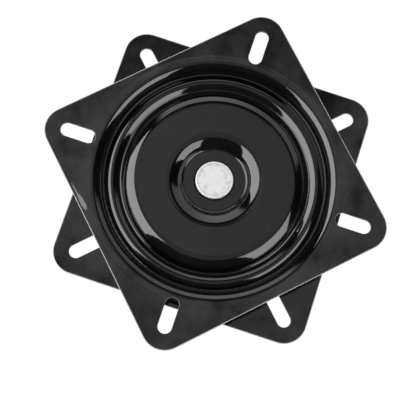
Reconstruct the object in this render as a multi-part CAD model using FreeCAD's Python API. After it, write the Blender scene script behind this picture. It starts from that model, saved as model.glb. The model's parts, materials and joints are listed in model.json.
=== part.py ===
import FreeCAD, Part
import math
import os

# Square turntable bearing: two pressed steel plates that turn on a ring of balls.
# The plates are one pressing used twice, face to face, and a centre rivet holds them together.
# Z is the turning axis and z = 0 is the flange of the lower plate. Lengths are in millimetres.

# Plate blank
plate_side = 200.0
plate_corner_radius = 17.6
sheet = 2.0
edge_break = 0.3
rest_turn = 45.0

# Pressed pan, as seen from the plate's outer face; depths are from the flange
flange_width = 6.4
pan_depth = 9.5
plateau_depth = 2.7
hub_floor_radius = 24.2
hub_foot_radius = 2.8
hub_wall_angle = 42.0
hub_bend_radius = 14.0
shoulder_wall_angle = 42.0
shoulder_bend_radius = 13.6
rim_wall_angle = 69.0
rim_bend_radius = 8.1
rim_foot_radius = 0.7
foot_radius = 0.5
inner_land = 0.1
outer_land = 0.1
bend_share = 0.97

# Slots for the screws, one on each diagonal of a plate
slot_count = 4
slot_width = 10.4
slot_length = 27.2
slot_rim_gap = 1.2

# Balls and the race that the ridge of each plate forms on its inner face
ball_count = 36
ball_radius = 3.175
race_clearance = 0.1
groove_relief = 2.875
ridge_flank_angle = 41.0
plate_gap = 1.35

# Moulded cage that spaces the balls
cage_width = 10.4
cage_clearance = 0.3
pocket_clearance = 0.15
pocket_grip = 0.035
collar_wall = 0.775

# Centre rivet, fast in the lower plate and free in the upper one
shank_radius = 8.0
bore_clearance = 0.1
head_radius = 14.3
head_thickness = 2.7
head_clearance = 0.15
head_edge_radius = 0.8
tail_radius = 13.0
tail_thickness = 2.6
tail_edge_radius = 1.3
tail_dimple_radius = 5.0
tail_dimple_depth = 0.5

# Washer between the two hubs
washer_margin = 4.0
washer_clearance = 0.3
washer_edge_radius = 0.2

# Heights and radii that follow from the sizes above
half_height = pan_depth + sheet + plate_gap / 2
total_height = 2 * half_height
ridge_height = ball_radius + race_clearance - plate_gap / 2
rim_radius = plate_side / 2 - flange_width
upper_bore_radius = shank_radius + bore_clearance
groove_radius = ball_radius + groove_relief
pocket_radius = ball_radius + pocket_clearance

origin = FreeCAD.Vector(0, 0, 0)
axis = FreeCAD.Vector(0, 0, 1)


def rise(angle):
    """Height that an arc of radius 1 takes when it turns from level by the angle."""
    return 1 - math.cos(math.radians(angle))


def bend_run(radius, angle):
    """Length from a sharp corner to where a bend of the radius starts."""
    return radius * math.tan(math.radians(angle) / 2)


def fitted_bend(radius, foot, height, angle):
    """The bend radius, held to what the height of its wall leaves above the foot."""
    return min(radius, bend_share * height / rise(angle) - foot)


def wall_run(height, angle):
    """Level distance that a sloping wall covers."""
    return height / math.tan(math.radians(angle))


# Radii of the pan's sharp corners, from the rim inwards
shoulder_height = pan_depth - plateau_depth
rim_bend = fitted_bend(rim_bend_radius, rim_foot_radius, pan_depth, rim_wall_angle)
crest_bend = fitted_bend(groove_radius + sheet, foot_radius, ridge_height, ridge_flank_angle)
shoulder_bend = fitted_bend(shoulder_bend_radius, foot_radius, shoulder_height, shoulder_wall_angle)
hub_bend = fitted_bend(hub_bend_radius, hub_foot_radius, shoulder_height, hub_wall_angle)

rim_top = rim_radius - bend_run(rim_bend, rim_wall_angle)
rim_foot = rim_top - wall_run(pan_depth, rim_wall_angle)
crest_overshoot = crest_bend * (1 / math.cos(math.radians(ridge_flank_angle)) - 1)
ridge_half_width = wall_run(ridge_height + crest_overshoot, ridge_flank_angle)
rim_foot_run = bend_run(rim_foot_radius, rim_wall_angle)
ridge_foot_run = bend_run(foot_radius, ridge_flank_angle)
shoulder_foot_run = bend_run(foot_radius, shoulder_wall_angle)
race_radius = rim_foot - rim_foot_run - outer_land - ridge_foot_run - ridge_half_width
shoulder_foot = race_radius - ridge_half_width - ridge_foot_run - inner_land - shoulder_foot_run
shoulder_top = shoulder_foot - wall_run(shoulder_height, shoulder_wall_angle)
hub_top = hub_floor_radius + wall_run(shoulder_height, hub_wall_angle)
slot_centre_radius = rim_radius + slot_rim_gap + slot_length / 2


def pressing_corners(bore_radius):
    """Sharp corners of the plate's outer face from the bore outwards, each with its bend radius."""
    crest_depth = pan_depth - ridge_height - crest_overshoot
    return [
        (bore_radius, pan_depth, 0),
        (hub_floor_radius, pan_depth, hub_foot_radius),
        (hub_top, plateau_depth, hub_bend),
        (shoulder_top, plateau_depth, shoulder_bend),
        (shoulder_foot, pan_depth, foot_radius),
        (race_radius - ridge_half_width, pan_depth, foot_radius),
        (race_radius, crest_depth, crest_bend),
        (race_radius + ridge_half_width, pan_depth, foot_radius),
        (rim_foot, pan_depth, rim_foot_radius),
        (rim_top, 0, rim_bend),
        (plate_side, 0, 0),
    ]


def bend_line(corners, offset):
    """Edges of the line with its corners bent round, moved sideways by the offset."""
    points = [FreeCAD.Vector(radius, 0, depth) for radius, depth, bend in corners]
    ways = [(end - start).normalize() for start, end in zip(points, points[1:])]
    sides = [FreeCAD.Vector(-way.z, 0, way.x) for way in ways]
    edges = []
    start = points[0] + sides[0] * offset
    for index in range(1, len(points) - 1):
        before = ways[index - 1]
        after = ways[index]
        turn = math.atan2(before.x * after.z - before.z * after.x, before.dot(after))
        corner = points[index] + sides[index - 1] * offset - before * offset * math.tan(turn / 2)
        bend = corners[index][2] - math.copysign(offset, turn)
        run = bend * math.tan(abs(turn) / 2)
        depth = bend / math.cos(turn / 2) - bend
        bend_start = corner - before * run
        bend_end = corner + after * run
        bend_middle = corner + (after - before).normalize() * depth
        edges.append(Part.LineSegment(start, bend_start).toShape())
        edges.append(Part.Arc(bend_start, bend_middle, bend_end).toShape())
        start = bend_end
    end = points[-1] + sides[-1] * offset
    edges.append(Part.LineSegment(start, end).toShape())
    return edges


def revolved(edges):
    """Solid of revolution about the turning axis from a closed line of edges."""
    section = Part.Face(Part.Wire(Part.__sortEdges__(edges)))
    return section.revolve(origin, axis, 360)


def pressed_disc(bore_radius):
    """Round pressing, wider than the plate, before its outline is cut."""
    corners = pressing_corners(bore_radius)
    outer_face = bend_line(corners, 0)
    inner_face = bend_line(corners, sheet)
    bore_wall = Part.LineSegment(outer_face[0].Vertexes[0].Point, inner_face[0].Vertexes[0].Point)
    outer_wall = Part.LineSegment(outer_face[-1].Vertexes[-1].Point, inner_face[-1].Vertexes[-1].Point)
    return revolved(outer_face + inner_face + [bore_wall.toShape(), outer_wall.toShape()])


def plate_outline():
    """Square prism with round corners that the pressing is cut to."""
    corner = FreeCAD.Vector(-plate_side / 2, -plate_side / 2, 0)
    prism = Part.makeBox(plate_side, plate_side, half_height, corner)
    upright = [edge for edge in prism.Edges if edge.BoundBox.ZLength > sheet]
    return prism.makeFillet(plate_corner_radius, upright)


def slot_cutter(angle):
    """Long round-ended slot, lying outwards from the turning axis at the angle."""
    reach = (slot_length - slot_width) / 2
    half_width = slot_width / 2
    centre = FreeCAD.Vector(slot_centre_radius, 0, 0)
    along = FreeCAD.Vector(reach, 0, 0)
    across = FreeCAD.Vector(0, half_width, 0)
    nose = FreeCAD.Vector(reach + half_width, 0, 0)
    edges = [
        Part.LineSegment(centre - along - across, centre + along - across).toShape(),
        Part.Arc(centre + along - across, centre + nose, centre + along + across).toShape(),
        Part.LineSegment(centre + along + across, centre - along + across).toShape(),
        Part.Arc(centre - along + across, centre - nose, centre - along - across).toShape(),
    ]
    cutter = Part.Face(Part.Wire(edges)).extrude(axis * sheet)
    return cutter.rotate(origin, axis, angle)


def is_blank_edge(edge):
    """True for the sharp flange edges along the outline and round the slots."""
    level = edge.BoundBox.ZLength < edge_break / 2
    on_flange = edge.BoundBox.ZMax < sheet + edge_break
    middle = edge.CenterOfMass
    return level and on_flange and math.hypot(middle.x, middle.y) > rim_radius


def pressed_plate(bore_radius):
    """One plate, lying flange down with its sides along X and Y."""
    plate = pressed_disc(bore_radius).common(plate_outline())
    pitch = 360 / slot_count
    slots = [slot_cutter(pitch * (number + 0.5)) for number in range(slot_count)]
    plate = plate.cut(slots)
    sharp = [edge for edge in plate.Edges if is_blank_edge(edge)]
    return plate.makeFillet(min(edge_break, bend_share * sheet / 2), sharp)


def lower_plate():
    return pressed_plate(shank_radius)


def upper_plate():
    """The same pressing turned over, with a running bore, and turned by an eighth at rest."""
    middle = FreeCAD.Vector(0, 0, half_height)
    plate = pressed_plate(upper_bore_radius).mirror(middle, axis)
    return plate.rotate(origin, axis, rest_turn)


def round_corner(corner, before, after, radius):
    """Quarter-turn arc in a section, from the edge that comes before to the one after."""
    centre = corner + before * radius + after * radius
    middle = centre - (before + after).normalize() * radius
    return Part.Arc(corner + before * radius, middle, corner + after * radius).toShape()


def closed_section(points, radii):
    """Closed line of edges through the points, with square corners rounded where a radius is given."""
    edges = []
    count = len(points)
    ends = []
    for index, (point, radius) in enumerate(zip(points, radii)):
        before = (points[index - 1] - point).normalize()
        after = (points[(index + 1) % count] - point).normalize()
        if radius > 0:
            edges.append(round_corner(point, before, after, radius))
        ends.append((point + before * radius, point + after * radius))
    for index in range(count):
        start = ends[index][1]
        end = ends[(index + 1) % count][0]
        edges.append(Part.LineSegment(start, end).toShape())
    return edges


def centre_rivet():
    """Rivet with a flat head in the upper hub and a formed tail under the lower one."""
    head_base = total_height - pan_depth + head_clearance
    head_top = head_base + head_thickness
    tail_base = pan_depth - tail_thickness
    points = [
        FreeCAD.Vector(0, 0, tail_base),
        FreeCAD.Vector(tail_radius, 0, tail_base),
        FreeCAD.Vector(tail_radius, 0, pan_depth),
        FreeCAD.Vector(shank_radius, 0, pan_depth),
        FreeCAD.Vector(shank_radius, 0, head_base),
        FreeCAD.Vector(head_radius, 0, head_base),
        FreeCAD.Vector(head_radius, 0, head_top),
        FreeCAD.Vector(0, 0, head_top),
    ]
    tail_edge = min(tail_edge_radius, bend_share * tail_thickness)
    head_edge = min(head_edge_radius, bend_share * head_thickness)
    radii = [0, tail_edge, 0, 0, 0, 0, head_edge, 0]
    rivet = revolved(closed_section(points, radii))
    return rivet.cut(tail_dimple(tail_base))


def tail_dimple(tail_base):
    """Shallow hollow that closing the rivet leaves in its tail."""
    ball = (tail_dimple_radius ** 2 + tail_dimple_depth ** 2) / (2 * tail_dimple_depth)
    centre = FreeCAD.Vector(0, 0, tail_base + tail_dimple_depth - ball)
    return Part.makeSphere(ball, centre)


def hub_washer():
    """Flat washer on the shank that keeps the hubs apart."""
    base = pan_depth + sheet
    thickness = plate_gap - washer_clearance
    bore = upper_bore_radius
    outside = hub_floor_radius - washer_margin
    points = [
        FreeCAD.Vector(bore, 0, base),
        FreeCAD.Vector(outside, 0, base),
        FreeCAD.Vector(outside, 0, base + thickness),
        FreeCAD.Vector(bore, 0, base + thickness),
    ]
    edge = min(washer_edge_radius, bend_share * thickness / 2)
    return revolved(closed_section(points, [0, edge, edge, 0]))


def ball_centre(number):
    """Place of a ball's centre on the race circle, the first one on the X axis."""
    angle = math.radians(360 / ball_count * number)
    return FreeCAD.Vector(race_radius * math.cos(angle), race_radius * math.sin(angle), half_height)


def ball_cage():
    """Flat ring with a round collar for each ball, bored out so that the ball snaps in."""
    thickness = plate_gap - 2 * cage_clearance
    base = FreeCAD.Vector(0, 0, half_height - thickness / 2)
    outside = Part.makeCylinder(race_radius + cage_width / 2, thickness, base)
    inside = Part.makeCylinder(race_radius - cage_width / 2, thickness, base)
    ring = outside.cut(inside)
    collar_half_height = math.sqrt(pocket_radius ** 2 - (ball_radius - pocket_grip) ** 2)
    drop = FreeCAD.Vector(0, 0, collar_half_height)
    collar_radius = pocket_radius + collar_wall
    centres = [ball_centre(number) for number in range(ball_count)]
    collars = [Part.makeCylinder(collar_radius, 2 * collar_half_height, centre - drop) for centre in centres]
    pockets = [Part.makeSphere(pocket_radius, centre) for centre in centres]
    return ring.multiFuse(collars).cut(pockets)


def main():
    os.makedirs("parts", exist_ok=True)
    pieces = {
        "lower_plate": lower_plate(),
        "upper_plate": upper_plate(),
        "centre_rivet": centre_rivet(),
        "hub_washer": hub_washer(),
        "ball_cage": ball_cage(),
    }
    for number in range(ball_count):
        pieces[f"ball_{number + 1:02d}"] = Part.makeSphere(ball_radius, ball_centre(number))
    for name, piece in pieces.items():
        piece.exportStep(f"parts/{name}.step")


main()
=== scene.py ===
"""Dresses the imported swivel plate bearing: gloss black paint on the two plates, bright zinc on the
rivet and washer, polished balls, a moulded cage, and the studio that shows them."""

import json
from functools import reduce
from math import cos, pi, radians, sin

import bpy
from mathutils import Matrix, Vector


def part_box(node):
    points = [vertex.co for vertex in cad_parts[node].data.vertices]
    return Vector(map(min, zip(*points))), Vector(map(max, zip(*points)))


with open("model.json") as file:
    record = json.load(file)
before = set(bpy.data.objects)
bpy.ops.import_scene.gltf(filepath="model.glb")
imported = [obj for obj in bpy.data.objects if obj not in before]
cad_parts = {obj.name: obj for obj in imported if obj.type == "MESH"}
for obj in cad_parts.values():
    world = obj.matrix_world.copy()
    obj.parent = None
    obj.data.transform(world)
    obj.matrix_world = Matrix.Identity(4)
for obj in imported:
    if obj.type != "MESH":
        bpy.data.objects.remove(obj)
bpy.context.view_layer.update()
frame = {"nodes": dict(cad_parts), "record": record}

bl_info = {
    "name": "Swivel Plate Bearing",
    "version": (1, 0, 0),
    "blender": (4, 5, 0),
    "location": "View3D > Sidebar > Bearing",
    "description": "Finishes a square swivel plate bearing and sets it on a lit stage",
    "category": "Object",
}

# The bearing's sizes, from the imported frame. All lengths are in metres.
plate_low, plate_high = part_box("lower_plate")
half_side = plate_high.x
face_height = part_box("upper_plate")[1].z
rivet_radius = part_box("centre_rivet")[1].x
ball_low, ball_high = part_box("ball_01")
race_radius = ((ball_low + ball_high) / 2).xy.length
ball_nodes = sorted(name for name in frame["nodes"] if name.startswith("ball_") and name[-1].isdigit())

slot_mount = next(m for m in frame["record"]["mounts"] if m["name"] == "upper_slots_x")["dims"]
slot_reach = slot_mount["spacing_x_mm"] / 2000
slot_half_width = slot_mount["hole_r_mm"] / 1000
slot_half_run = slot_mount["slot_length_mm"] / 2000 - slot_half_width

# Sizes that the frame doesn't state: the plates' corners, half the sheet's thickness, how far
# inside the slots' ends the pan's rim starts, and the width of the press's ring round the pan.
corner_radius = 0.0176
half_sheet = 0.001
slot_to_pan = 0.0012
ring_width = 0.0036
rest_turn = pi / 4
pan_radius = slot_reach - slot_half_run - slot_half_width - slot_to_pan
ring_radius = pan_radius + ring_width

# How deep the fine relief is.
ring_depth = 0.00005
scratch_depth = 0.000004
turning_depth = 0.0000012
spangle_depth = 0.00001
grease_depth = 0.000008
grain_depth = 0.00003

# The pressing's finer curves: where one starts and ends along the radius, and how far the sheet
# rises towards the end.
PRESSED_CURVES = (
    # the hub's wall is steepest by its foot and eases late into the plateau
    (0.0246, 0.0280, 0.00032),
    (0.0300, 0.0365, 0.00025),
    # the shoulder's bend starts early
    (0.0705, 0.0585, 0.0008),
    # the ridge over the balls is round on both of its sides
    (race_radius - 0.0045, race_radius, 0.0006),
    (race_radius + 0.0045, race_radius, 0.0006),
)
# The paint that gathers in the valleys inside and outside the ridge: the valley's radius, half the
# width of the paint in it, and its depth.
VALLEY_POOLS = (
    (race_radius - 0.00635, 0.0009, 0.00018),
    (race_radius + 0.0063, 0.0010, 0.00042),
)
# Rubbed places of the upper plate, in its own axes along its sides: the middle's two places, the
# lean of the long way in degrees, half length, half width, and how far the paint is rubbed.
RUBS = (
    (-0.0966, 0.0275, 92, 0.0085, 0.0020, 1.0),
    (-0.0972, 0.0385, 91, 0.0060, 0.0007, 0.8),
)
# Runs of hair scratches: the lean in degrees, and how far along its noise a run is taken.
HAIR_RUNS = ((25, 0.0), (100, 0.37), (152, 0.81))
HAIR_COLOUR = (0.20, 0.20, 0.21, 1)
WHITE = (1, 1, 1, 1)
# The softboxes: name, middle, the point that one faces, roll in degrees, width and height.
SOFTBOXES = (
    ("left_softbox", (-0.838, -0.158, 0.633), (-0.155, 0.102, 0.024), 13, 1.24, 1.02),
    ("right_softbox", (0.900, -0.301, 0.610), (0.392, -0.081, 0.024), -5, 0.75, 0.84),
)


class Signal:
    """A value in a material. Arithmetic on it adds the Math nodes."""

    def __init__(self, shading, socket):
        self.shading = shading
        self.socket = socket

    def math(self, operation, *values):
        return self.shading.node("Math", {"operation": operation}, dict(enumerate(values)))

    def __add__(self, other):
        return self.math("ADD", self, other)

    def __sub__(self, other):
        return self.math("SUBTRACT", self, other)

    def __rsub__(self, other):
        return self.math("SUBTRACT", other, self)

    def __mul__(self, other):
        return self.math("MULTIPLY", self, other)

    def __truediv__(self, other):
        return self.math("DIVIDE", self, other)

    def __abs__(self):
        return self.math("ABSOLUTE", self)

    __radd__ = __add__
    __rmul__ = __mul__

    def least(self, other):
        return self.math("MINIMUM", self, other)

    def most(self, other):
        return self.math("MAXIMUM", self, other)


class Shading:
    """The node tree of one finish, or of the world."""

    def __init__(self, tree):
        self.tree = tree
        tree.nodes.clear()

    def node(self, kind, settings=None, inputs=None, output=0):
        """Adds a node of that kind, sets it up, feeds its sockets and gives one of its outputs."""
        made = self.tree.nodes.new("ShaderNode" + kind)
        for name, value in (settings or {}).items():
            setattr(made, name, value)
        for key, value in (inputs or {}).items():
            if isinstance(value, Signal):
                self.tree.links.new(value.socket, made.inputs[key])
            else:
                made.inputs[key].default_value = value
        return Signal(self, made.outputs[output]) if len(made.outputs) else None

    def place(self):
        """The place on the object, in the object's own axes."""
        return self.node("TexCoord", output="Object")

    def parts(self, vector):
        """The three parts of a vector."""
        split = self.node("SeparateXYZ", None, {0: vector}).socket.node
        return [Signal(self, socket) for socket in split.outputs]

    def point(self, x, y, z):
        return self.node("CombineXYZ", None, {0: x, 1: y, 2: z})

    def rays(self, *kinds):
        """1 for rays of any of these kinds, 0 for all others."""
        outputs = self.node("LightPath").socket.node.outputs
        return reduce(Signal.most, [Signal(self, outputs[f"Is {kind} Ray"]) for kind in kinds])

    def step(self, value, low, high):
        """Rises smoothly from 0 at low to 1 at high. Low may be the larger of the two."""
        limits = {"Value": value, "From Min": low, "From Max": high}
        return self.node("MapRange", {"interpolation_type": "SMOOTHSTEP"}, limits)

    def mix(self, share, first, second):
        """A colour between two colours, which the Mix node has on inputs 6 and 7 and output 2."""
        return self.node("Mix", {"data_type": "RGBA"}, {0: share, 6: first, 7: second}, 2)

    def blend(self, share, first, second):
        """A shader between two shaders."""
        return self.node("MixShader", None, {0: share, 1: first, 2: second})

    def noise(self, place, scale, detail=2.0, roughness=0.5):
        inputs = {"Vector": place, "Scale": scale, "Detail": detail, "Roughness": roughness}
        return self.node("TexNoise", None, inputs)

    def stretched(self, place, scales):
        """The same place with each axis stretched by its own scale."""
        return self.node("VectorMath", {"operation": "MULTIPLY"}, {0: place, 1: scales})

    def moved(self, place, way):
        return self.node("VectorMath", {"operation": "ADD"}, {0: place, 1: way})

    def turned(self, place, angle):
        """The place as seen from axes turned by that angle about the turning axis."""
        turn = {"Vector": place, "Angle": -angle}
        return self.node("VectorRotate", {"rotation_type": "Z_AXIS"}, turn)

    def length(self, x, y):
        """The length of a level vector."""
        vector = self.point(x, y, 0.0)
        return self.node("VectorMath", {"operation": "LENGTH"}, {0: vector}, "Value")

    def relief(self, height, depth, over=None):
        """The normal of a surface with this relief, depth metres deep, laid over another relief."""
        inputs = {"Strength": 1.0, "Distance": depth, "Height": height}
        if over is not None:
            inputs["Normal"] = over
        return self.node("Bump", None, inputs)


def finish_named(name):
    """A new material and the shading that fills it."""
    material = bpy.data.materials.new(name)
    material.use_nodes = True
    return material, Shading(material.node_tree)


def surface(shading, inputs):
    """Closes a finish with its Principled shader."""
    shader = shading.node("BsdfPrincipled", None, inputs)
    shading.node("OutputMaterial", None, {"Surface": shader})


def dress(names, material):
    """Gives CAD nodes a material."""
    for name in names:
        mesh = frame["nodes"][name].data
        mesh.materials.clear()
        mesh.materials.append(material)


def opaque(colour, share=1.0):
    """A setting's colour, or a share of it, as a socket wants it."""
    return (*[part * share for part in colour], 1)


def edge_distance(shading, x, y):
    """How far a place is from the plate's outline, and how far from the nearest slot."""
    straight = half_side - corner_radius
    over_x = abs(x) - straight
    over_y = abs(y) - straight
    corner = shading.length(over_x.most(0.0), over_y.most(0.0))
    outline = corner_radius - corner - over_x.most(over_y).least(0.0)
    # all four slots lie on the diagonals, so folding the plate twice needs only one
    diagonal = (abs(x) + abs(y)) * cos(pi / 4)
    aside = abs(abs(x) - abs(y)) * cos(pi / 4)
    beyond = (abs(diagonal - slot_reach) - slot_half_run).most(0.0)
    slot = shading.length(beyond, aside) - slot_half_width
    return outline, slot


def hair_scratches(shading, place):
    """Fine scratches that lie in patches: 0 on whole paint, up from there on a scratch."""
    fineness = (1800, 45, 45)
    hairs = 0.0
    for lean, start in HAIR_RUNS:
        strand = shading.stretched(shading.turned(place, radians(lean)), fineness)
        streak = shading.noise(shading.moved(strand, (start, 0, 0)), 1, 1)
        hairs = shading.step(streak, 0.705, 0.76) + hairs
    patches = shading.step(shading.noise(place, 28, 2), 0.5, 0.62)
    return hairs * patches


def dust_specks(shading, place, spacing):
    """Round specks of several sizes, in about a third of the cells of a Voronoi pattern."""
    cells = {"Vector": place, "Scale": 1 / spacing}
    from_middle = shading.node("TexVoronoi", None, cells)
    chance, size, _ = shading.parts(shading.node("TexVoronoi", None, cells, "Color"))
    speck = shading.step(from_middle, size * 0.07 + 0.03, 0.01)
    return speck * shading.step(chance, 0.62, 0.7)


def worn_and_highlit_edges(shading, place, sheet_middle, wear):
    """Where the edges of the outline are pale, and less so those of the slots: part worn paint, part a
    painted highlight of the rounded edges.
    """
    # from how far the wear starts to where it is full, measured from an edge or the sheet's middle
    outline_wear = (0.00080, 0.00035)
    slot_wear = (0.0004, 0.0001)
    corner_wear = (0.0004, 0.0008)
    raggedness = 0.0004

    x, y, z = shading.parts(place)
    outline, slot = edge_distance(shading, x, y)
    chips = shading.noise(place, 420, 3)
    ragged = (chips - 0.5) * raggedness
    worn = shading.step(outline + ragged, *outline_wear) * wear
    worn = worn.most(shading.step(slot + ragged, *slot_wear) * wear * 0.4)
    # the sheared edge is pale along its two rounded corners, part bare metal and part a painted highlight,
    # and mostly black between them
    by_corner = shading.step(abs(z - sheet_middle), *corner_wear) * 0.85
    return worn * (by_corner + shading.step(chips, 0.5, 0.62) * 0.3)


def rubbed(shading, place):
    """Where the paint is rubbed: 0 on whole paint, up to 1 in the middle of a rub."""
    x, y, _ = shading.parts(place)
    ragged = (shading.noise(place, 1100, 4, 0.7) - 0.5) * 1.1
    worn = 0.0
    for middle_x, middle_y, lean, half_length, half_width, amount in RUBS:
        from_x, from_y = x - middle_x, y - middle_y
        cosine, sine = cos(radians(lean)), sin(radians(lean))
        along = (from_x * cosine + from_y * sine) / half_length
        across = (from_y * cosine - from_x * sine) / half_width
        reach = shading.length(along, across) + ragged
        worn = shading.step(reach, 1.0, 0.6) * amount + worn
    return worn


def film_dulling_and_head_shadow(shading, place, radius, look):
    """How thick a pale film lies in patches on the paint, how pale the flange is by the pan, where its
    gloss is dull, and a painted shadow round the rivet's head.
    """
    thinning_run = 0.012
    on_flange = shading.step(radius, pan_radius - 0.0022, pan_radius - 0.0006)
    patches = shading.noise(place, 38, 5, 0.58)
    # the paint is paler all over the flange by the pan, and the film lies in patches further out
    by_pan = 1 - shading.step(radius, ring_radius, ring_radius + thinning_run) * 0.8
    film = shading.step(patches, 0.46, 0.64) * (on_flange * 0.75 + 0.1)
    film = on_flange * by_pan * look.flange_paleness + film
    dull = shading.step(patches, 0.47, 0.30) * on_flange * look.dulling
    # painted shadow: a dark line round the rivet's head, where the head's contact shadow falls on the hub
    painted_head_shadow = shading.step(radius, rivet_radius + 0.0016, rivet_radius + 0.0009)
    return film, dull.most(painted_head_shadow * 0.8)


def pressed_relief(shading, radius, over):
    """The relief of the pressing and of the paint in its valleys, laid over another relief."""
    # the press leaves a faint ring round the pan, which falls off within its border
    border_width = 0.0012
    border = shading.step(radius, ring_radius + border_width, ring_radius)
    ring = shading.step(radius, pan_radius, ring_radius) * border
    over = shading.relief(ring, ring_depth, over)
    for start, end, rise in PRESSED_CURVES:
        over = shading.relief(shading.step(radius, start, end), rise, over)
    for valley, half_width, depth in VALLEY_POOLS:
        pool = shading.step(abs(radius - valley), half_width, 0.0)
        over = shading.relief(pool, depth, over)
    return over


def paint_finish(name, look, turn, sheet_middle, with_rubs):
    """Gloss black paint on pressed steel, with orange peel, dust, hair scratches and edges that are part
    worn, part painted highlight.
    """
    material, shading = finish_named(name)
    place = shading.turned(shading.place(), turn)
    x, y, _ = shading.parts(place)
    radius = shading.length(x, y)
    hairs = hair_scratches(shading, place)
    dust = dust_specks(shading, place, look.dust_spacing)
    film, dull = film_dulling_and_head_shadow(shading, place, radius, look)
    # the pale edges are part worn paint and part a painted highlight of the rounded edges
    worn = worn_and_highlit_edges(shading, place, sheet_middle, look.edge_wear_and_highlight)
    bare = worn

    dust_colour = opaque(look.dust_colour)
    colour = shading.mix(film * look.haze, opaque(look.colour), dust_colour)
    colour = shading.mix(dust * look.dust, colour, dust_colour)
    colour = shading.mix(hairs * 0.10, colour, HAIR_COLOUR)
    # painted highlight and wear: the edge colour goes on the sheared edges
    colour = shading.mix(worn, colour, opaque(look.edge_and_highlight_colour))
    if with_rubs:
        rubs = rubbed(shading, place)
        colour = shading.mix(rubs, colour, opaque(look.rub_colour))
        bare = worn.most(rubs)

    bump = shading.relief(shading.noise(place, 1 / look.sway_size, 1), look.sway_depth)
    bump = shading.relief(shading.noise(place, 1 / look.peel_size, 2), look.peel_depth, bump)
    bump = pressed_relief(shading, radius, bump)
    bump = shading.relief(hairs + worn * 2, scratch_depth, bump)
    cloud = shading.noise(place, 55, 3)
    # Metallic on the black paint turns its gloss off: in dull patches, and as the painted shadow round the
    # rivet's head
    surface(shading, {
        "Base Color": colour,
        "Roughness": look.roughness + (cloud - 0.5) * 0.03 + bare * 0.3 + dust * 0.2,
        "Metallic": dull,
        "IOR": look.ior,
        "Normal": bump,
    })
    return material


def zinc_finish(name, look):
    """Bright zinc plate: soft spangle, fine turning marks, a polished outer edge painted white as a
    highlight, and a painted shade ring inside it.
    """
    material, shading = finish_named(name)
    place = shading.place()
    x, y, _ = shading.parts(place)
    radius = shading.length(x, y)

    spangle = {"Vector": place, "Scale": 1 / look.spangle_size}
    grain, tilt, _ = shading.parts(shading.node("TexVoronoi", None, spangle, "Color"))
    cloud = shading.noise(place, 190, 4, 0.6)
    marks_per_metre = 2600
    turning = shading.noise(shading.point(radius * marks_per_metre, 0.0, 0.0), 1, 2)
    pitted = shading.step(shading.noise(place, 1500, 2), 0.62, 0.72)

    # painted highlight and shade: the head's polished outer edge is painted white where it catches the
    # light, and a painted dark ring lies inside it
    rim_highlight = shading.step(radius, rivet_radius - 0.0014, rivet_radius - 0.0009)
    painted_shade_ring = shading.step(radius, rivet_radius - 0.0027, rivet_radius - 0.0020) * (1 - rim_highlight)
    shade = (
        (grain - 0.5) * 0.2
        + shading.step(cloud, 0.36, 0.52) * 0.75
        - pitted * 0.25
        - painted_shade_ring * 0.6
        + 0.25
    )
    flat = shading.mix(shade, opaque(look.colour, look.dull_share), opaque(look.colour))
    bump = shading.relief(turning, turning_depth)
    bump = shading.relief(cloud + tilt * 0.2, spangle_depth, bump)
    surface(shading, {
        "Base Color": shading.mix(rim_highlight, flat, WHITE),
        "Metallic": look.metal,
        "Roughness": look.roughness + (cloud - 0.5) * 0.12 - rim_highlight * 0.12,
        "Normal": bump,
    })
    return material


def ball_finish(name, look):
    """Polished bearing steel with a smear of grease."""
    material, shading = finish_named(name)
    place = shading.place()
    smear = shading.step(shading.noise(place, 380, 3), 0.42, 0.62)
    lapped = shading.noise(place, 6000, 1)
    surface(shading, {
        "Base Color": shading.mix(smear * 0.5, opaque(look.colour), opaque(look.grease_colour)),
        "Metallic": 1 - smear * 0.25,
        "Roughness": look.roughness + smear * 0.18,
        "Coat Weight": smear * 0.6,
        "Coat Roughness": 0.12,
        "Normal": shading.relief(lapped * 0.2 + smear, grease_depth),
    })
    return material


def cage_finish(name, look):
    """Moulded black nylon with a fine spark-eroded grain."""
    material, shading = finish_named(name)
    place = shading.place()
    grain = shading.noise(place, 1 / look.grain_size, 3, 0.6)
    flow = shading.noise(shading.stretched(place, (60, 60, 260)), 1, 3)
    surface(shading, {
        "Base Color": shading.mix(flow, opaque(look.colour), opaque(look.colour, 1.6)),
        "Roughness": look.roughness + (grain - 0.5) * 0.14 + (flow - 0.5) * 0.08,
        "Normal": shading.relief(grain, grain_depth),
    })
    return material


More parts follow.
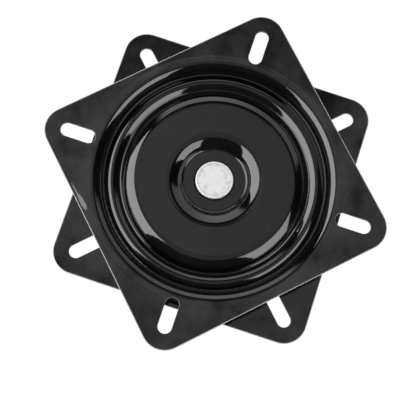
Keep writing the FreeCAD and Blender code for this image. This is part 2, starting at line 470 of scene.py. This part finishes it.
class PaintLook(bpy.types.PropertyGroup):
    """The paint on both plates."""

    colour: bpy.props.FloatVectorProperty(
        name="Paint", description="Colour of the paint", subtype="COLOR", size=3, min=0, max=1,
        default=(0.0008, 0.0008, 0.00088))
    rub_colour: bpy.props.FloatVectorProperty(
        name="Rubbed paint", description="Colour where the paint is rubbed", subtype="COLOR", size=3,
        min=0, max=1, default=(0.23, 0.23, 0.235))
    dust_colour: bpy.props.FloatVectorProperty(
        name="Dust colour", description="Colour of the dust and of the thin film", subtype="COLOR", size=3,
        min=0, max=1, default=(0.25, 0.25, 0.25))
    dust: bpy.props.FloatProperty(
        name="Dust", description="How pale the dust specks are", subtype="FACTOR", default=0.35, min=0,
        max=1)
    dust_spacing: bpy.props.FloatProperty(
        name="Dust spacing", description="Distance between specks", subtype="DISTANCE", unit="LENGTH",
        default=0.004, min=0.0005)
    haze: bpy.props.FloatProperty(
        name="Haze", description="How pale the thin film on the paint is", subtype="FACTOR", default=0.07,
        min=0, max=1)
    flange_paleness: bpy.props.FloatProperty(
        name="Flange film", description="How much of the film lies all over the flange", subtype="FACTOR",
        default=0.6, min=0, max=1)
    dulling: bpy.props.FloatProperty(
        name="Dulling", description="How dull the dull patches are", subtype="FACTOR", default=0.5, min=0,
        max=1)
    # the pale sheared edges are part worn paint, part a painted highlight of their rounded corners
    edge_and_highlight_colour: bpy.props.FloatVectorProperty(
        name="Worn edge", description="Colour of the sheared edges", subtype="COLOR", size=3, min=0, max=1,
        default=(0.56, 0.56, 0.56))
    edge_wear_and_highlight: bpy.props.FloatProperty(
        name="Edge wear", description="How far the sheared edges are worn", subtype="FACTOR", default=0.9,
        min=0, max=1)
    roughness: bpy.props.FloatProperty(
        name="Gloss roughness", description="Softness of the paint's gloss", subtype="FACTOR",
        default=0.07, min=0, max=1)
    ior: bpy.props.FloatProperty(
        name="Refraction index", description="Strength of the paint's gloss", default=1.84, min=1, max=3)
    peel_size: bpy.props.FloatProperty(
        name="Orange peel size", description="Width of one dimple of the paint", subtype="DISTANCE",
        unit="LENGTH", default=0.0024, min=0.0002)
    peel_depth: bpy.props.FloatProperty(
        name="Orange peel depth", description="Depth of the paint's dimples", subtype="DISTANCE",
        unit="LENGTH", default=0.000012, min=0, precision=6)
    sway_size: bpy.props.FloatProperty(
        name="Waviness size", description="Width of one wave of the pressed sheet", subtype="DISTANCE",
        unit="LENGTH", default=0.022, min=0.002)
    sway_depth: bpy.props.FloatProperty(
        name="Waviness depth", description="Depth of the pressed sheet's waves", subtype="DISTANCE",
        unit="LENGTH", default=0.00008, min=0, precision=6)


class ZincLook(bpy.types.PropertyGroup):
    """The zinc on the rivet and washer."""

    colour: bpy.props.FloatVectorProperty(
        name="Zinc", description="Colour of the zinc", subtype="COLOR", size=3, min=0, max=1,
        default=(0.94, 0.94, 0.935))
    dull_share: bpy.props.FloatProperty(
        name="Dull share", description="Brightness of the dull zinc as a share of the bright zinc's",
        subtype="FACTOR", default=0.72, min=0, max=1)
    metal: bpy.props.FloatProperty(
        name="Metal", description="How metallic the zinc looks", subtype="FACTOR", default=0.1, min=0,
        max=1)
    roughness: bpy.props.FloatProperty(
        name="Roughness", description="Softness of the zinc's gloss", subtype="FACTOR", default=0.5, min=0,
        max=1)
    spangle_size: bpy.props.FloatProperty(
        name="Spangle size", description="Width of one zinc crystal", subtype="DISTANCE", unit="LENGTH",
        default=0.0016, min=0.0002)


class BallLook(bpy.types.PropertyGroup):
    """The steel of the balls."""

    colour: bpy.props.FloatVectorProperty(
        name="Steel", description="Colour of the polished steel", subtype="COLOR", size=3, min=0, max=1,
        default=(0.62, 0.62, 0.63))
    grease_colour: bpy.props.FloatVectorProperty(
        name="Grease", description="Colour of the grease", subtype="COLOR", size=3, min=0, max=1,
        default=(0.34, 0.30, 0.20))
    roughness: bpy.props.FloatProperty(
        name="Roughness", description="Softness of the polish", subtype="FACTOR", default=0.09, min=0,
        max=1)


class CageLook(bpy.types.PropertyGroup):
    """The plastic of the ball cage."""

    colour: bpy.props.FloatVectorProperty(
        name="Nylon", description="Colour of the moulded cage", subtype="COLOR", size=3, min=0, max=1,
        default=(0.022, 0.022, 0.022))
    roughness: bpy.props.FloatProperty(
        name="Roughness", description="Softness of the plastic's gloss", subtype="FACTOR", default=0.48,
        min=0, max=1)
    grain_size: bpy.props.FloatProperty(
        name="Grain size", description="Width of the mould's grain", subtype="DISTANCE", unit="LENGTH",
        default=0.0005, min=0.00005)


class StageLook(bpy.types.PropertyGroup):
    """The floor, the lamps and the camera."""

    floor_colour: bpy.props.FloatVectorProperty(
        name="Floor", description="Colour of the floor under the lamps", subtype="COLOR", size=3, min=0,
        max=1, default=(0.85, 0.85, 0.85))
    left_power: bpy.props.FloatProperty(
        name="Left lamp", description="Power of the large lamp on the left", unit="POWER", default=12.3,
        min=0)
    right_power: bpy.props.FloatProperty(
        name="Right lamp", description="Power of the lamp on the right", unit="POWER", default=5.1, min=0)
    room: bpy.props.FloatProperty(
        name="Room", description="Brightness of the room around the lamps", default=1.13, min=0)
    camera_place: bpy.props.FloatVectorProperty(
        name="Camera place", description="Where the camera stands", subtype="TRANSLATION", unit="LENGTH",
        size=3, default=(0.0222674, -0.1748538, 0.7741694))
    camera_turn: bpy.props.FloatVectorProperty(
        name="Camera turn", description="Turn of the camera", subtype="EULER", unit="ROTATION", size=3,
        default=(radians(11.74545), radians(-1.73296), radians(18.30975)))
    lens: bpy.props.FloatProperty(
        name="Lens", description="Focal length in millimetres", unit="CAMERA", default=92.61, min=10)


class BEARING_OT_paint_plates(bpy.types.Operator):
    """Paint the upper and the lower plate gloss black"""

    bl_idname = "bearing.paint_plates"
    bl_label = "Paint the Plates"
    bl_options = {"REGISTER", "UNDO"}

    def execute(self, context):
        look = context.scene.bearing_paint
        upper_middle = face_height - half_sheet
        lower_middle = plate_low.z + half_sheet
        dress(["upper_plate"], paint_finish("upper_plate_paint", look, rest_turn, upper_middle, True))
        dress(["lower_plate"], paint_finish("lower_plate_paint", look, 0.0, lower_middle, False))
        return {"FINISHED"}


class BEARING_OT_plate_rivet(bpy.types.Operator):
    """Give the centre rivet and the hub washer their bright zinc"""

    bl_idname = "bearing.plate_rivet"
    bl_label = "Zinc the Rivet and Washer"
    bl_options = {"REGISTER", "UNDO"}

    def execute(self, context):
        dress(["centre_rivet", "hub_washer"], zinc_finish("bright_zinc", context.scene.bearing_zinc))
        return {"FINISHED"}


class BEARING_OT_polish_balls(bpy.types.Operator):
    """Polish the balls and smear them with grease"""

    bl_idname = "bearing.polish_balls"
    bl_label = "Polish the Balls"
    bl_options = {"REGISTER", "UNDO"}

    def execute(self, context):
        dress(ball_nodes, ball_finish("greased_ball_steel", context.scene.bearing_balls))
        return {"FINISHED"}


class BEARING_OT_mould_cage(bpy.types.Operator):
    """Give the ball cage its moulded nylon"""

    bl_idname = "bearing.mould_cage"
    bl_label = "Mould the Cage"
    bl_options = {"REGISTER", "UNDO"}

    def execute(self, context):
        dress(["ball_cage"], cage_finish("moulded_nylon", context.scene.bearing_cage))
        return {"FINISHED"}


def stage_floor(look):
    """A wide pale floor that shows as white and keeps the bearing's shadow."""
    reach = 6.0
    drop = 0.0001
    glow_strength = 1.06
    glow_share = 0.92
    corners = [(x * reach, y * reach, -drop) for x, y in ((-1, -1), (1, -1), (1, 1), (-1, 1))]
    mesh = bpy.data.meshes.new("floor")
    mesh.from_pydata(corners, [], [(0, 1, 2, 3)])
    floor = bpy.data.objects.new("floor", mesh)
    bpy.context.scene.collection.objects.link(floor)

    material, shading = finish_named("floor_white")
    matt = shading.node("BsdfDiffuse", None, {"Color": opaque(look.floor_colour)})
    glow = shading.node("Emission", None, {"Color": WHITE, "Strength": glow_strength})
    # the rest of what is seen is the matt floor, which keeps the shadow
    seen = shading.rays("Camera", "Glossy", "Transmission") * glow_share
    shading.node("OutputMaterial", None, {"Surface": shading.blend(seen, matt, glow)})
    mesh.materials.append(material)


def stage_lamp(name, middle, target, roll, width, height, power):
    """A softbox that faces its target, rolled about the way it faces."""
    lamp = bpy.data.lights.new(name, "AREA")
    lamp.shape = "RECTANGLE"
    lamp.size = width
    lamp.size_y = height
    lamp.energy = power
    facing = (Vector(target) - Vector(middle)).to_track_quat("-Z", "Y").to_matrix().to_4x4()
    holder = bpy.data.objects.new(name, lamp)
    holder.matrix_world = Matrix.Translation(middle) @ facing @ Matrix.Rotation(radians(roll), 4, "Z")
    holder.visible_camera = False
    bpy.context.scene.collection.objects.link(holder)


def stage_world(look):
    """White behind the floor, and for the light a room with a pale backdrop on its far side."""
    world = bpy.data.worlds.new("studio")
    world.use_nodes = True
    bpy.context.scene.world = world
    shading = Shading(world.node_tree)
    step, blend = shading.step, shading.blend

    def glow(strength):
        return shading.node("Background", None, {"Color": WHITE, "Strength": strength * look.room})

    x, y, z = shading.parts(shading.node("TexCoord", output="Generated"))
    level = shading.length(x, y).most(0.001)
    # where a ray heads on the level: 1 is straight to the right, or to the far side
    right, far = x / level, y / level

    # the ceiling is paler on the left, dim on the near side, and unlit low down on the far side
    ceiling = blend(step(y * 0.3 + x, 0.09, 0.0), glow(0.28), glow(0.33))
    ceiling = blend(step(y, 0.118, 0.085), ceiling, glow(0.23))
    unlit = step(far, 0.78, 0.9) * step(right, 0.27, 0.15) * step(z, 0.954, 0.947)
    ceiling = blend(unlit, ceiling, glow(0.11))
    # the walls below it are dark, a little less so on the near side
    light = blend(step(z, 0.80, 0.90), glow(0.02), ceiling)
    near_wall = step(far, -0.35, -0.7) * step(z, 0.90, 0.80)
    light = blend(near_wall, light, blend(step(z, 0.3, 0.6), glow(0.04), glow(0.05)))
    # the backdrop stands on the far side and is brighter to the left
    backdrop = blend(step(right, -0.3, 0.3), glow(0.90), glow(0.50))
    light = blend(step(far, 0.62, 0.74) * step(z, 0.72, 0.66), light, backdrop)

    white = shading.node("Background", None, {"Color": WHITE, "Strength": 1.0})
    shown = blend(shading.rays("Camera", "Transmission"), light, white)
    shading.node("OutputWorld", None, {"Surface": shown})


def stage_camera(look):
    camera = bpy.data.objects.new("camera", bpy.data.cameras.new("camera"))
    camera.data.lens = look.lens
    camera.data.sensor_width = 36
    camera.data.clip_start = 0.01
    camera.location = look.camera_place
    camera.rotation_euler = look.camera_turn
    bpy.context.scene.collection.objects.link(camera)
    bpy.context.scene.camera = camera


class BEARING_OT_build_stage(bpy.types.Operator):
    """Lay the floor, hang the lamps and set up the camera"""

    bl_idname = "bearing.build_stage"
    bl_label = "Build the Stage"
    bl_options = {"REGISTER", "UNDO"}

    def execute(self, context):
        look = context.scene.bearing_stage
        stage_floor(look)
        for softbox, power in zip(SOFTBOXES, (look.left_power, look.right_power)):
            stage_lamp(*softbox, power)
        stage_world(look)
        stage_camera(look)
        context.scene.view_settings.view_transform = "Standard"
        return {"FINISHED"}


LOOKS = (
    ("bearing_paint", PaintLook),
    ("bearing_zinc", ZincLook),
    ("bearing_balls", BallLook),
    ("bearing_cage", CageLook),
    ("bearing_stage", StageLook),
)
STEPS = (
    BEARING_OT_paint_plates,
    BEARING_OT_plate_rivet,
    BEARING_OT_polish_balls,
    BEARING_OT_mould_cage,
    BEARING_OT_build_stage,
)


class BEARING_PT_panel(bpy.types.Panel):
    """Lists the bearing's steps and their settings"""

    bl_idname = "BEARING_PT_panel"
    bl_label = "Swivel Plate Bearing"
    bl_space_type = "VIEW_3D"
    bl_region_type = "UI"
    bl_category = "Bearing"

    def draw(self, context):
        for (group, look), step in zip(LOOKS, STEPS):
            section = self.layout.box()
            section.operator(step.bl_idname)
            for setting in look.__annotations__:
                section.prop(getattr(context.scene, group), setting)


def register():
    for group, look in LOOKS:
        bpy.utils.register_class(look)
        setattr(bpy.types.Scene, group, bpy.props.PointerProperty(type=look))
    for step in STEPS:
        bpy.utils.register_class(step)
    bpy.utils.register_class(BEARING_PT_panel)


def unregister():
    bpy.utils.unregister_class(BEARING_PT_panel)
    for step in reversed(STEPS):
        bpy.utils.unregister_class(step)
    for group, look in reversed(LOOKS):
        delattr(bpy.types.Scene, group)
        bpy.utils.unregister_class(look)


def main():
    register()
    bpy.ops.bearing.paint_plates()
    bpy.ops.bearing.plate_rivet()
    bpy.ops.bearing.polish_balls()
    bpy.ops.bearing.mould_cage()
    bpy.ops.bearing.build_stage()


if __name__ == "__main__":
    main()
